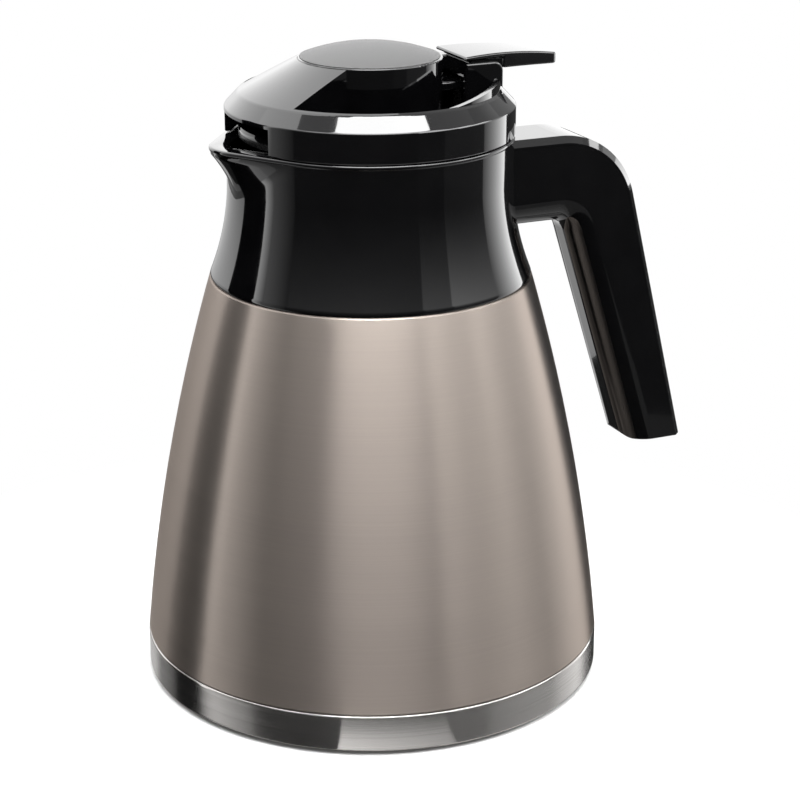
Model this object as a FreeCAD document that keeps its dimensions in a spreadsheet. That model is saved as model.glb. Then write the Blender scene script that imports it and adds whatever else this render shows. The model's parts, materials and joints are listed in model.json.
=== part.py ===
import FreeCAD
import Part
import Sketcher
import math
import os

# A vacuum carafe for tea: steel vessel, black collar with spout and handle, and a
# screw lid whose thumb lever lifts a pour valve. Millimetres, +Z up, the origin at
# the centre of the foot, +X towards the handle and -X towards the spout.

DIMENSIONS = {
    # Vessel
    "base_radius": 80.0,
    "pad_inset": 6.6,
    "pad_gap": 0.6,
    "pad_chamfer": 0.8,
    "band_bottom": 1.4,
    "band_height": 12.7,
    "band_wall": 1.0,
    "cap_thickness": 1.8,
    "plate_flange": 6.0,
    "shoulder_height": 142.5,
    "shoulder_radius": 54.9,
    "shoulder_ledge": 2.8,
    "belly_bulge": 3.05,
    "shell_wall": 0.8,
    "foot_vacuum": 8.0,
    "side_vacuum": 7.0,
    "liner_wall": 0.6,
    "liner_corner": 10.0,
    "chamber_lift": 9.4,
    "neck_rise": 13.5,
    "neck_thickness": 2.6,
    "lip_rise": 32.5,
    "getter_radius": 6.0,
    "getter_height": 2.4,
    "getter_offset": 30.0,
    "seal_radius": 6.0,
    "seal_room": 1.0,
    "seal_pin": 1.9,
    # Gaps
    "seam_gap": 0.2,
    "fit_gap": 0.1,
    "slide_gap": 0.3,
    "shaft_gap": 0.05,
    # Collar and spout
    "collar_taper": 6.7,
    "waist_rise": 33.5,
    "collar_flare": 1.7,
    "collar_wall": 2.2,
    "rim_rise": 14.6,
    "rim_bead": 0.4,
    "mouth_step": 6.2,
    "mouth_wall": 1.6,
    "ledge_thickness": 2.0,
    "gasket_thickness": 2.0,
    "spout_projection": 7.6,
    "spout_nose": 14.0,
    "spout_depth": 17.6,
    "spout_lip": 2.4,
    "spout_lip_round": 0.8,
    "spout_wall": 2.0,
    "channel_lift": 1.0,
    # Handle
    "handle_width": 24.0,
    "handle_drop": 5.2,
    "handle_arm": 31.1,
    "grip_length": 85.1,
    "grip_reach": 70.9,
    "lean_outside": 13.8,
    "lean_inside": 17.4,
    "grip_depth_tip": 21.4,
    "bend_outer": 30.0,
    "bend_inner": 6.0,
    "tip_inner": 3.0,
    "finger_round": 9.5,
    "back_chamfer": 2.2,
    "back_thickness": 3.0,
    "hollow_drop": 4.3,
    "hollow_lift": 8.8,
    "hollow_width": 12.0,
    "grip_wall": 3.6,
    "screw_lift": 8.2,
    "screw_drop": 6.9,
    "screw_shank": 1.8,
    "screw_head": 3.3,
    "screw_head_height": 1.9,
    "screw_length": 14.0,
    "screw_room": 1.0,
    # Lid
    "skirt_overhang": 0.4,
    "skirt_rise": 10.4,
    "skirt_wall": 2.2,
    "bevel_width": 4.6,
    "bevel_rise": 4.6,
    "pocket_width": 18.8,
    "hub_wall": 2.0,
    "hub_rise": 10.9,
    "edge_chamfer": 0.4,
    "floor_rise": 4.4,
    "floor_thickness": 2.0,
    "web_thickness": 4.0,
    "rim_width": 1.0,
    "hood_half_axis": 14.3,
    "hood_half_rim": 25.0,
    "hood_wall": 2.2,
    "window_height": 4.6,
    "window_half": 20.5,
    "fin_wall": 2.0,
    "fin_start": 9.6,
    "fin_setback": 6.5,
    "fin_rise": 4.0,
    "cap_rim": 0.9,
    "cap_seat": 1.2,
    "cap_crown": 4.2,
    "cap_wall": 1.8,
    # Lever and its cheeks
    "cheek_half": 12.0,
    "cheek_wall": 2.0,
    "cheek_gap": 5.4,
    "cheek_inset": 0.4,
    "cheek_rise": 7.9,
    "cheek_round": 3.4,
    "cheek_edge": 0.9,
    "bridge_height": 4.0,
    "pivot_inset": 7.4,
    "pivot_rise": 11.0,
    "pin_radius": 1.5,
    "pin_cover": 0.8,
    "lever_overhang": 22.8,
    "lever_half_end": 7.3,
    "lever_cover": 2.1,
    "lever_thickness": 5.0,
    "lever_lift_gap": 0.9,
    "lever_tip_thickness": 3.2,
    "lever_crown": 1.1,
    "lever_corner": 2.4,
    "lever_side_gap": 0.6,
    "lever_boss": 3.5,
    "arm_half": 6.3,
    "arm_thickness": 3.0,
    "arm_room": 1.0,
    "arm_play": 2.75,
    "nose_radius": 2.0,
    "fork_gap": 0.7,
    # Stopper and thread
    "stopper_depth": 11.0,
    "stopper_floor": 2.1,
    "stopper_gap": 1.6,
    "stopper_wall": 2.2,
    "stopper_ease": 0.6,
    "flange_overlap": 2.0,
    "flange_thickness": 2.0,
    "seat_bore": 12.5,
    "groove_rise": 4.0,
    "groove_height": 4.2,
    "groove_depth": 1.3,
    "port_half": 16.0,
    "port_lift": 2.0,
    "port_drop": 1.0,
    "thread_lead": 48.0,
    "thread_span": 40.0,
    "thread_height": 2.2,
    "thread_lift": 0.6,
    "insert_screw_shank": 1.2,
    "insert_screw_head": 2.0,
    "insert_screw_sink": 1.0,
    # Valve
    "stem_radius": 3.0,
    "stem_head": 6.4,
    "stem_head_height": 2.5,
    "guide_wall": 2.95,
    "guide_flange": 1.2,
    "guide_gap": 1.05,
    "plug_overlap": 2.5,
    "plug_thickness": 3.6,
    "plug_wall": 3.0,
    "seal_thickness": 1.0,
    "seal_width": 5.5,
    "spring_gap": 1.4,
    "spring_wire": 0.6,
    "spring_pitch": 3.6,
}

RIB_ANGLES = (50.0, 120.0, 240.0, 310.0)
INSERT_SCREW_ANGLES = (0.0, 90.0, 270.0)

doc = FreeCAD.newDocument("carafe")
sheet = doc.addObject("Spreadsheet::Sheet", "Sizes")


class Size:
    """A number with the sheet formula it comes from, so that features stay bound."""

    def __init__(self, value, formula):
        self.value = value
        self.formula = formula

    @staticmethod
    def of(other):
        if isinstance(other, Size):
            return other
        return Size(float(other), repr(float(other)))

    def join(self, other, sign, value):
        return Size(value, f"({self.formula} {sign} {other.formula})")

    def __add__(self, other):
        other = Size.of(other)
        return self.join(other, "+", self.value + other.value)

    def __sub__(self, other):
        other = Size.of(other)
        return self.join(other, "-", self.value - other.value)

    def __mul__(self, other):
        other = Size.of(other)
        return self.join(other, "*", self.value * other.value)

    def __truediv__(self, other):
        other = Size.of(other)
        return self.join(other, "/", self.value / other.value)

    def __neg__(self):
        return Size(-self.value, f"(0 - {self.formula})")


def tangent(angle):
    return Size(math.tan(math.radians(angle.value)), f"tan({angle.formula})")


def root(number):
    return Size(math.sqrt(number.value), f"sqrt({number.formula})")


def level_bow(across, rise):
    """The bulge of an arc over a chord that runs level at its upper end."""
    steep = rise / across
    stretch = steep * steep + 1
    return across * across * (stretch - root(stretch)) / (rise * 2)


def read_sheet():
    sizes = {}
    for row, (name, number) in enumerate(DIMENSIONS.items(), start=1):
        sheet.set(f"A{row}", name)
        sheet.set(f"B{row}", str(number))
        sheet.setAlias(f"B{row}", name)
    doc.recompute()
    for name in DIMENSIONS:
        sizes[name] = Size(float(sheet.get(name)), f"Sizes.{name}")
    return sizes


size = read_sheet()
ZERO = Size.of(0)


def bind(item, **properties):
    """Binds properties to sizes; two underscores stand for a dot in the path."""
    for path, value in properties.items():
        item.setExpression(path.replace("__", "."), Size.of(value).formula)


def place(item, x=ZERO, y=ZERO, z=ZERO):
    bind(item, Placement__Base__x=x, Placement__Base__y=y, Placement__Base__z=z)
    return item


def new_sketch(body, name, role, height=ZERO):
    plane = next(f for f in body.Origin.OriginFeatures if f.Role == role)
    sketch = body.newObject("Sketcher::SketchObject", name)
    sketch.AttachmentSupport = [(plane, "")]
    sketch.MapMode = "FlatFace"
    bind(sketch, AttachmentOffset__Base__z=height)
    return sketch


def constrain(sketch, kind, *where, value):
    number = sketch.addConstraint(Sketcher.Constraint(kind, *where, value.value))
    sketch.setExpression(f"Constraints[{number}]", value.formula)


def draw_outline(sketch, corners):
    """Draws a closed outline. A corner (x, y) is reached by a line, and a corner
    (x, y, bulge) by an arc that stands out by bulge on the right of the way."""
    ends = []
    for start, end in zip([corners[-1], *corners[:-1]], corners):
        first = FreeCAD.Vector(start[0].value, start[1].value, 0)
        last = FreeCAD.Vector(end[0].value, end[1].value, 0)
        if len(end) == 2:
            edge = sketch.addGeometry(Part.LineSegment(first, last))
        else:
            way = last - first
            out = FreeCAD.Vector(way.y, -way.x, 0).normalize() * end[2].value
            edge = sketch.addGeometry(Part.Arc(first, (first + last) / 2 + out, last))
            bulge = end[2] if end[2].value > 0 else -end[2]
            across = end[0] - start[0]
            along = end[1] - start[1]
            chord = across * across + along * along
            constrain(sketch, "Radius", edge, value=chord / (bulge * 8) + bulge / 2)
        forward = (sketch.getPoint(edge, 1).distanceToPoint(first)
                   < sketch.getPoint(edge, 2).distanceToPoint(first))
        ends.append((edge, 1 if forward else 2, 2 if forward else 1))
        constrain(sketch, "DistanceX", -1, 1, edge, ends[-1][2], value=end[0])
        constrain(sketch, "DistanceY", -1, 1, edge, ends[-1][2], value=end[1])
    for (edge, _, tail), (following, head, _) in zip(ends, [*ends[1:], ends[0]]):
        sketch.addConstraint(Sketcher.Constraint("Coincident", edge, tail, following, head))


def turned(name, corners):
    """A body of revolution about Z from an outline in radius and height."""
    body = doc.addObject("PartDesign::Body", name)
    sketch = new_sketch(body, f"{name}_profile", "XZ_Plane")
    draw_outline(sketch, corners)
    turn = body.newObject("PartDesign::Revolution", f"{name}_turn")
    turn.Profile = sketch
    turn.ReferenceAxis = (sketch, ["V_Axis"])
    turn.Angle = 360
    return body


def side_prism(name, corners, width):
    """A body from a side view in X and Z, with half of its width on each side of Y = 0."""
    body = doc.addObject("PartDesign::Body", name)
    sketch = new_sketch(body, f"{name}_side", "XZ_Plane")
    draw_outline(sketch, corners)
    pad = body.newObject("PartDesign::Pad", f"{name}_pad")
    pad.Profile = sketch
    pad.SideType = "Symmetric"
    bind(pad, Length=width)
    return body


def plan_prism(name, corners, bottom, height):
    """A body from a plan view in X and Y."""
    body = doc.addObject("PartDesign::Body", name)
    sketch = new_sketch(body, f"{name}_plan", "XY_Plane", bottom)
    draw_outline(sketch, corners)
    pad = body.newObject("PartDesign::Pad", f"{name}_pad")
    pad.Profile = sketch
    bind(pad, Length=height)
    return body


def rod(name, radius, height, bottom=ZERO):
    item = doc.addObject("Part::Cylinder", name)
    bind(item, Radius=radius, Height=height)
    return place(item, z=bottom)


def cross_rod(name, radius, length, x, z):
    """A rod along Y, centred on Y = 0."""
    item = doc.addObject("Part::Cylinder", name)
    bind(item, Radius=radius, Height=length)
    item.Placement.Rotation = FreeCAD.Rotation(FreeCAD.Vector(1, 0, 0), 90)
    return place(item, x, length / 2, z)


def long_rod(name, radius, length, x, z):
    """A rod along +X from x."""
    item = doc.addObject("Part::Cylinder", name)
    bind(item, Radius=radius, Height=length)
    item.Placement.Rotation = FreeCAD.Rotation(FreeCAD.Vector(0, 1, 0), 90)
    return place(item, x, ZERO, z)


def block(name, x, z, half_width):
    """A box from its limits in X and Z and its half width in Y."""
    item = doc.addObject("Part::Box", name)
    bind(item, Length=x[1] - x[0], Width=half_width * 2, Height=z[1] - z[0])
    return place(item, x[0], -half_width, z[0])


def cut(name, base, tool):
    item = doc.addObject("Part::Cut", name)
    item.Base = base
    item.Tool = tool
    return item


def common(name, base, tool):
    item = doc.addObject("Part::Common", name)
    item.Base = base
    item.Tool = tool
    return item


def fuse(name, *pieces):
    item = doc.addObject("Part::MultiFuse", name)
    item.Shapes = list(pieces)
    item.Refine = True
    return item


def group(name, *pieces):
    item = doc.addObject("Part::Compound", name)
    item.Links = list(pieces)
    return item


def around(item, angle):
    """Turns a placed item about Z."""
    item.Placement.Rotation = FreeCAD.Rotation(FreeCAD.Vector(0, 0, 1), angle)
    return item


def round_edges(body, name, radius, chosen):
    """Rounds the edges of a body that the test picks."""
    doc.recompute()
    base = body.Tip
    names = [f"Edge{n}" for n, edge in enumerate(base.Shape.Edges, start=1) if chosen(edge)]
    fillet = body.newObject("PartDesign::Fillet", name)
    fillet.Base = (base, names)
    bind(fillet, Radius=radius)
    return body


def bevel_edges(body, name, width, chosen):
    """Bevels the edges of a body that the test picks."""
    doc.recompute()
    base = body.Tip
    names = [f"Edge{n}" for n, edge in enumerate(base.Shape.Edges, start=1) if chosen(edge)]
    bevel = body.newObject("PartDesign::Chamfer", name)
    bevel.Base = (base, names)
    bind(bevel, Size=width)
    return body


def thread_ribs(name, inner, reach, bottom):
    """Short helical ribs of a quick thread, from the inner radius outwards by reach."""
    ribs = []
    for number, angle in enumerate(RIB_ANGLES, start=1):
        start = angle - size["thread_span"].value / 2
        path = doc.addObject("Part::Helix", f"{name}_path_{number}")
        rise = size["thread_lead"] * size["thread_span"] / 360
        bind(path, Pitch=size["thread_lead"], Height=rise, Radius=inner + reach)
        place(around(path, start), z=bottom)
        section = doc.addObject("Part::Plane", f"{name}_section_{number}")
        bind(section, Length=reach, Width=size["thread_height"])
        upright = FreeCAD.Rotation(FreeCAD.Vector(1, 0, 0), 90)
        section.Placement.Rotation = FreeCAD.Rotation(FreeCAD.Vector(0, 0, 1), start) * upright
        across = math.radians(start)
        place(section, inner * math.cos(across), inner * math.sin(across), bottom)
        rib = doc.addObject("Part::Sweep", f"{name}_{number}")
        rib.Sections = [section]
        rib.Spine = (path, [])
        rib.Solid = True
        rib.Frenet = True
        ribs.append(rib)
    return ribs


# Radii that several pieces share

pad_radius = size["base_radius"] - size["pad_inset"]
shell_skirt = size["base_radius"] - size["band_wall"] - size["fit_gap"]
waist_radius = size["shoulder_radius"] - size["collar_taper"]
mouth_radius = waist_radius - size["mouth_step"]
mouth_outside = mouth_radius + size["mouth_wall"]
neck_bore = mouth_radius - size["neck_thickness"]
ledge_bore = neck_bore + size["seam_gap"]
spout_reach = waist_radius + size["spout_projection"]
handle_reach = waist_radius + size["grip_reach"]
skirt_radius = waist_radius + size["skirt_overhang"]
bevel_radius = skirt_radius - size["bevel_width"]
pocket_radius = bevel_radius - size["rim_width"]
hub_radius = pocket_radius - size["pocket_width"]
hub_bore = hub_radius - size["hub_wall"]
cap_radius = hub_radius - size["cap_rim"]
cheek_start = hub_radius + size["cheek_gap"]
cheek_end = bevel_radius - size["cheek_inset"]
cheek_inner = size["cheek_half"] - size["cheek_wall"]
pivot_reach = cheek_start + size["pivot_inset"]
lever_start = cheek_start - size["fit_gap"]
lever_end = cheek_end + size["lever_overhang"]
stopper_radius = neck_bore - size["stopper_gap"]
stopper_top = ledge_bore - size["stopper_ease"]
flange_radius = mouth_radius + size["flange_overlap"]
insert_screw_circle = (stopper_top + flange_radius) / 2
guide_radius = size["stem_radius"] + size["shaft_gap"] + size["guide_wall"]
plug_radius = size["seat_bore"] + size["plug_overlap"]
plug_boss = size["stem_radius"] + size["plug_wall"]
spring_radius = plug_boss + size["spring_gap"] + size["spring_wire"]

# Heights that several pieces share

cap_bottom = size["band_bottom"] + size["band_wall"]
plate_bottom = cap_bottom + size["cap_thickness"]
band_top = size["band_bottom"] + size["band_height"]
chamber_floor = plate_bottom + size["chamber_lift"]
neck_foot = size["shoulder_height"] + size["neck_rise"]
lip_height = size["shoulder_height"] + size["lip_rise"]
lip_bottom = lip_height - size["shell_wall"]
ledge_bottom = lip_height + size["gasket_thickness"]
ledge_top = ledge_bottom + size["ledge_thickness"]
collar_bottom = size["shoulder_height"] + size["seam_gap"]
waist_height = size["shoulder_height"] + size["waist_rise"]
rim_height = waist_height + size["rim_rise"]
handle_top = rim_height - size["handle_drop"]
handle_underside = handle_top - size["handle_arm"]
handle_tip = handle_underside - size["grip_length"]
handle_screw_heights = (handle_underside + size["screw_lift"], handle_top - size["screw_drop"])
skirt_bottom = rim_height + size["slide_gap"]
floor_top = rim_height + size["floor_rise"]
floor_bottom = floor_top - size["floor_thickness"]
flange_bottom = floor_bottom - size["flange_thickness"]
bevel_low = rim_height + size["skirt_rise"]
bevel_high = bevel_low + size["bevel_rise"]
hub_top = bevel_high + size["hub_rise"]
above_lid = hub_top + size["cap_crown"] * 2
cap_edge = hub_top - size["cap_seat"]
cheek_top = bevel_high + size["cheek_rise"]
lever_top = cheek_top + size["lever_cover"]
lever_under = lever_top - size["lever_thickness"]
pivot_height = floor_top + size["pivot_rise"]
nose_height = pivot_height - size["arm_thickness"] / 4
web_top = nose_height - size["nose_radius"] - size["guide_gap"] - size["guide_flange"]
web_bottom = web_top - size["web_thickness"]
stopper_bottom = lip_height - size["stopper_depth"]
groove_low = stopper_bottom + size["groove_rise"]
thread_low = ledge_top + size["thread_lift"]
valve_seat = stopper_bottom + size["stopper_floor"]
seal_bottom = valve_seat + size["slide_gap"]
plug_bottom = seal_bottom + size["seal_thickness"]
plug_top = plug_bottom + size["plug_thickness"]


# Vessel

def make_base_ring():
    outer = size["base_radius"]
    inner = outer - size["band_wall"]
    soft = size["edge_chamfer"]
    return turned("base_ring", [
        (pad_radius + size["pad_gap"], size["band_bottom"]),
        (outer - soft, size["band_bottom"]),
        (outer, size["band_bottom"] + soft),
        (outer, band_top - soft),
        (outer - soft, band_top),
        (inner, band_top),
        (inner, cap_bottom),
        (pad_radius + size["pad_gap"], cap_bottom),
    ])


def make_base_pad():
    edge = size["pad_chamfer"]
    return turned("base_pad", [
        (ZERO, ZERO),
        (pad_radius - edge, ZERO),
        (pad_radius, edge),
        (pad_radius, cap_bottom),
        (ZERO, cap_bottom),
    ])


def make_base_cap():
    recess = size["seal_radius"] + size["seal_room"]
    outer = shell_skirt - size["slide_gap"]
    middle = cap_bottom + size["cap_thickness"] / 3
    return turned("base_cap", [
        (ZERO, cap_bottom),
        (outer, cap_bottom),
        (outer, plate_bottom),
        (recess, plate_bottom),
        (recess, middle),
        (ZERO, middle),
    ])


def make_base_plate():
    wall = size["shell_wall"]
    outer = shell_skirt - wall - size["fit_gap"]
    hole = size["seal_pin"] + size["fit_gap"]
    return turned("base_plate", [
        (hole, plate_bottom),
        (outer, plate_bottom),
        (outer, plate_bottom + size["plate_flange"]),
        (outer - wall, plate_bottom + size["plate_flange"]),
        (outer - wall, plate_bottom + wall),
        (hole, plate_bottom + wall),
    ])


def make_vacuum_seal():
    head = size["cap_thickness"] / 2
    pin_top = plate_bottom + size["shell_wall"] * 2
    return turned("vacuum_seal", [
        (ZERO, plate_bottom - head),
        (size["seal_radius"], plate_bottom - head),
        (size["seal_radius"], plate_bottom),
        (size["seal_pin"], plate_bottom),
        (size["seal_pin"], pin_top),
        (ZERO, pin_top),
    ])


def make_outer_shell():
    wall = size["shell_wall"]
    foot_radius = size["base_radius"] - size["fit_gap"]
    foot = band_top + size["seam_gap"]
    ledge = size["shoulder_radius"] - size["shoulder_ledge"]
    neck = mouth_radius
    under = size["shoulder_height"] - wall
    return turned("outer_shell", [
        (shell_skirt - wall, plate_bottom),
        (shell_skirt, plate_bottom),
        (shell_skirt, foot),
        (foot_radius, foot),
        (size["shoulder_radius"], size["shoulder_height"], size["belly_bulge"]),
        (ledge, size["shoulder_height"]),
        (neck, neck_foot),
        (neck, lip_bottom),
        (neck - wall, lip_bottom),
        (neck - wall, neck_foot - wall / 2),
        (ledge - wall / 2, under),
        (size["shoulder_radius"] - wall, under),
        (foot_radius - wall, foot + wall, -size["belly_bulge"]),
        (shell_skirt - wall, foot + wall),
    ])


def make_inner_liner():
    wall = size["liner_wall"]
    corner = size["liner_corner"]
    floor = chamber_floor
    side = size["base_radius"] - size["foot_vacuum"]
    bore = neck_bore
    shoulder = size["shoulder_radius"] - size["side_vacuum"]
    turn = size["shoulder_height"] - size["side_vacuum"] / 3
    neck_turn = neck_foot - size["side_vacuum"] / 3
    lip = lip_height
    quarter = corner * (1 - math.sqrt(0.5))
    return turned("inner_liner", [
        (ZERO, floor - wall),
        (side - corner, floor - wall),
        (side, floor - wall + corner, quarter),
        (shoulder, turn, size["belly_bulge"]),
        (bore + wall, neck_turn),
        (bore + wall, lip_bottom),
        (mouth_radius, lip_bottom),
        (mouth_radius, lip),
        (bore, lip),
        (bore, neck_turn),
        (shoulder - wall, turn),
        (side - wall, floor - wall + corner, -size["belly_bulge"]),
        (side - corner, floor, -quarter),
        (ZERO, floor),
    ])


def make_getter():
    bottom = chamber_floor - size["liner_wall"] - size["getter_height"]
    getter = rod("getter", size["getter_radius"], size["getter_height"])
    return place(getter, size["getter_offset"], ZERO, bottom)


# Collar with the spout

def pear_sketch(body, name, height, circle, nose, reach):
    """Draws the plan of a spout: a circle about Z and a nose circle towards -X, joined
    by their tangents."""
    sketch = new_sketch(body, name, "XY_Plane", height)
    offset = reach - nose
    spread = math.acos((circle.value - nose.value) / offset.value)
    up = FreeCAD.Vector(0, 0, 1)
    centre = FreeCAD.Vector(-offset.value, 0, 0)
    back = Part.ArcOfCircle(
        Part.Circle(FreeCAD.Vector(), up, circle.value), spread - math.pi, math.pi - spread)
    front = Part.ArcOfCircle(
        Part.Circle(centre, up, nose.value), math.pi - spread, math.pi + spread)
    back_edge = sketch.addGeometry(back)
    front_edge = sketch.addGeometry(front)
    left = sketch.addGeometry(Part.LineSegment(back.EndPoint, front.StartPoint))
    right = sketch.addGeometry(Part.LineSegment(front.EndPoint, back.StartPoint))
    sketch.addConstraint(Sketcher.Constraint("Coincident", back_edge, 3, -1, 1))
    sketch.addConstraint(Sketcher.Constraint("PointOnObject", front_edge, 3, -1))
    constrain(sketch, "DistanceX", -1, 1, front_edge, 3, value=-offset)
    constrain(sketch, "Radius", back_edge, value=circle)
    constrain(sketch, "Radius", front_edge, value=nose)
    for joint in ((back_edge, 2, left, 1), (left, 2, front_edge, 1),
                  (front_edge, 2, right, 1), (right, 2, back_edge, 1)):
        sketch.addConstraint(Sketcher.Constraint("Tangent", *joint))
    return sketch


def spout_solid(name, circle, nose, reach, low, high):
    """A beak that leaves the round wall at the low height and curves out to its reach."""
    body = doc.addObject("PartDesign::Body", name)
    start = circle + size["slide_gap"]
    waist = start + (reach - start) / 3
    middle = (low + high) / 2
    beak = body.newObject("PartDesign::AdditiveLoft", f"{name}_loft")
    beak.Profile = pear_sketch(body, f"{name}_low", low, circle, nose, start)
    beak.Sections = [
        pear_sketch(body, f"{name}_middle", middle, circle, nose, waist),
        pear_sketch(body, f"{name}_high", high, circle, nose, reach),
    ]
    return body


def collar_outside(gap):
    """The outer outline of the collar from the seam up to the waist, moved out by gap."""
    return [
        (size["shoulder_radius"] + gap, collar_bottom),
        (waist_radius + gap, waist_height, -size["collar_flare"]),
    ]


def make_collar():
    wall = size["collar_wall"]
    rim = rim_height
    bead = size["rim_bead"]
    waist = waist_radius
    under_rim = rim - size["mouth_wall"] * 2
    ring = turned("collar_ring", [
        *collar_outside(ZERO),
        (waist, rim - bead * 4),
        (waist + bead, rim - bead * 3),
        (waist + bead, rim - bead),
        (waist, rim),
        (mouth_radius, rim),
        (mouth_radius, ledge_top),
        (ledge_bore, ledge_top),
        (ledge_bore, ledge_bottom),
        (mouth_outside, ledge_bottom),
        (mouth_outside, under_rim),
        (waist - wall, under_rim),
        (waist - wall, waist_height),
        (size["shoulder_radius"] - wall, collar_bottom, size["collar_flare"]),
    ])
    skin = waist - wall / 4
    lip = size["spout_lip"]
    beak = spout_solid(
        "spout_outside", skin, size["spout_nose"], spout_reach,
        rim - size["spout_depth"], rim - lip)
    lip_pad = beak.newObject("PartDesign::Pad", "spout_lip")
    lip_pad.Profile = pear_sketch(
        beak, "spout_lip_plan", rim - lip, skin, size["spout_nose"], spout_reach)
    bind(lip_pad, Length=lip)

    def on_lip_top(edge):
        box = edge.BoundBox
        return box.ZLength < 0.01 and abs(box.ZMax - rim.value) < 0.01
    round_edges(beak, "spout_lip_edge", size["spout_lip_round"], on_lip_top)
    bore = rod("spout_bore", mouth_outside - size["fit_gap"], rim * 2)
    spout_side = block(
        "spout_side", (-spout_reach * 2, -mouth_radius * 2 / 3),
        (ZERO, rim * 2), spout_reach)
    spout = common("spout_half", cut("spout_open", beak, bore), spout_side)
    channel = spout_solid(
        "spout_channel", mouth_radius - size["slide_gap"],
        size["spout_nose"] - size["spout_wall"], spout_reach - size["spout_wall"],
        ledge_top + size["channel_lift"], rim + size["slide_gap"])
    open_collar = cut("collar_open", fuse("collar_solid", ring, spout), channel)
    holes = [
        long_rod(f"collar_hole_{n}", size["screw_shank"] + size["fit_gap"],
                 size["shoulder_radius"], mouth_outside, height)
        for n, height in enumerate(handle_screw_heights)
    ]
    bosses = [
        long_rod(f"screw_boss_{n}", size["screw_head"], wall, waist - wall, height)
        for n, height in enumerate(handle_screw_heights)
    ]
    seated = fuse("collar_seated", open_collar, *bosses)
    drilled = cut("collar_drilled", seated, fuse("collar_holes", *holes))
    inner = ledge_bore
    low = thread_low + size["thread_height"] + size["slide_gap"]
    ribs = thread_ribs("collar_rib", inner, mouth_radius - inner + size["fit_gap"], low)
    return fuse("collar", drilled, *ribs)


def make_collar_gasket():
    inner = ledge_bore + size["fit_gap"]
    outer = mouth_radius + size["fit_gap"]
    return turned("collar_gasket", [
        (inner, lip_height),
        (outer, lip_height),
        (outer, ledge_bottom),
        (inner, ledge_bottom),
    ])


# Handle

def grip_outside(height):
    """The X of the grip's outer face at a height, before the bend is rounded."""
    return handle_reach - (height - handle_tip) * tangent(size["lean_outside"])


def grip_inside(height):
    """The X of the grip's finger side at a height."""
    tip = handle_reach - size["grip_depth_tip"]
    return tip - (height - handle_tip) * tangent(size["lean_inside"])


def along_y_at(x, z):
    """Picks the edge along Y through a point of the side view."""
    def test(edge):
        middle = edge.CenterOfMass
        flat = abs(edge.tangentAt(edge.FirstParameter).y) > 0.999
        return flat and math.hypot(middle.x - x.value, middle.z - z.value) < 0.01
    return test


def flank_edges(on_back):
    """Picks the long edges of the handle's flanks, on its back or on its finger side."""
    half = size["handle_width"].value / 2
    start = mouth_radius.value + 1
    tip = handle_tip.value + 1

    def test(edge):
        box = edge.BoundBox
        if abs(abs(box.Center.y) - half) > 0.01 or box.YLength > 0.01:
            return False
        if box.XMax < start or box.ZMax < tip:
            return False
        middle = edge.valueAt((edge.FirstParameter + edge.LastParameter) / 2)
        height = Size.of(middle.z)
        centre = (grip_outside(height).value + grip_inside(height).value) / 2
        arm = (handle_top.value + handle_underside.value) / 2
        return (middle.x > centre or middle.z > arm) == on_back
    return test


def make_handle_solid():
    top = handle_top
    under = handle_underside
    tip = handle_tip
    corners = [
        (grip_outside(top), top),
        (mouth_radius, top),
        (mouth_radius, under),
        (grip_inside(under), under),
        (grip_inside(tip), tip),
        (grip_outside(tip), tip),
    ]
    body = side_prism("handle_block", corners, size["handle_width"])
    round_edges(body, "outer_bend", size["bend_outer"], along_y_at(*corners[0]))
    round_edges(body, "inner_bend", size["bend_inner"], along_y_at(*corners[3]))
    round_edges(body, "finger_side", size["finger_round"], flank_edges(False))
    bevel_edges(body, "back_edges", size["back_chamfer"], flank_edges(True))

    curve = size["tip_inner"]
    heel = grip_inside(tip)
    beyond = tip - curve
    corner_cut = side_prism("tip_cut", [
        (heel - curve, beyond),
        (heel + curve * 1.2, beyond),
        (heel + curve * 1.2, tip),
        (grip_inside(tip + curve), tip + curve, -curve / 3),
        (heel - curve, tip + curve),
    ], size["handle_width"] * 2)

    seat = turned("handle_seat", [
        (ZERO, collar_bottom),
        *collar_outside(size["shaft_gap"]),
        (waist_radius + size["shaft_gap"], rim_height),
        (ZERO, rim_height),
    ])
    bores = [
        long_rod(f"handle_bore_{n}", size["screw_shank"] + size["shaft_gap"],
                 size["screw_length"] + size["screw_room"], waist_radius - size["collar_wall"], height)
        for n, height in enumerate(handle_screw_heights)
    ]
    return cut("handle_solid", body, fuse("handle_cuts", corner_cut, seat, *bores))


handle_solid = make_handle_solid()


def handle_inside(name, depth):
    """The space that lies deeper than depth under the handle's back."""
    top = handle_top - depth
    low = handle_tip - size["grip_depth_tip"]
    slant = depth * root(tangent(size["lean_outside"]) * tangent(size["lean_outside"]) + 1)
    corner = (grip_outside(top) - slant, top)
    body = side_prism(name, [
        corner,
        (ZERO, top),
        (ZERO, low),
        (grip_outside(low) - slant, low),
    ], size["handle_width"] * 2)
    return round_edges(body, f"{name}_bend", size["bend_outer"] - depth, along_y_at(*corner))


def make_handle_shell():
    depth = size["back_thickness"] + size["shaft_gap"]
    solid = common("handle_front", handle_solid, handle_inside("front_space", depth))
    high = handle_underside - size["hollow_drop"]
    low = handle_tip + size["hollow_lift"]
    hollow = side_prism("grip_hollow", [
        (grip_inside(high) + size["grip_wall"], high),
        (grip_inside(low) + size["grip_wall"], low),
        (grip_outside(low), low),
        (grip_outside(high), high),
    ], size["hollow_width"])
    return cut("handle_shell", solid, hollow)


def make_handle_back():
    inside = handle_inside("back_space", size["back_thickness"])
    return cut("handle_back", handle_solid, inside)


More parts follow.
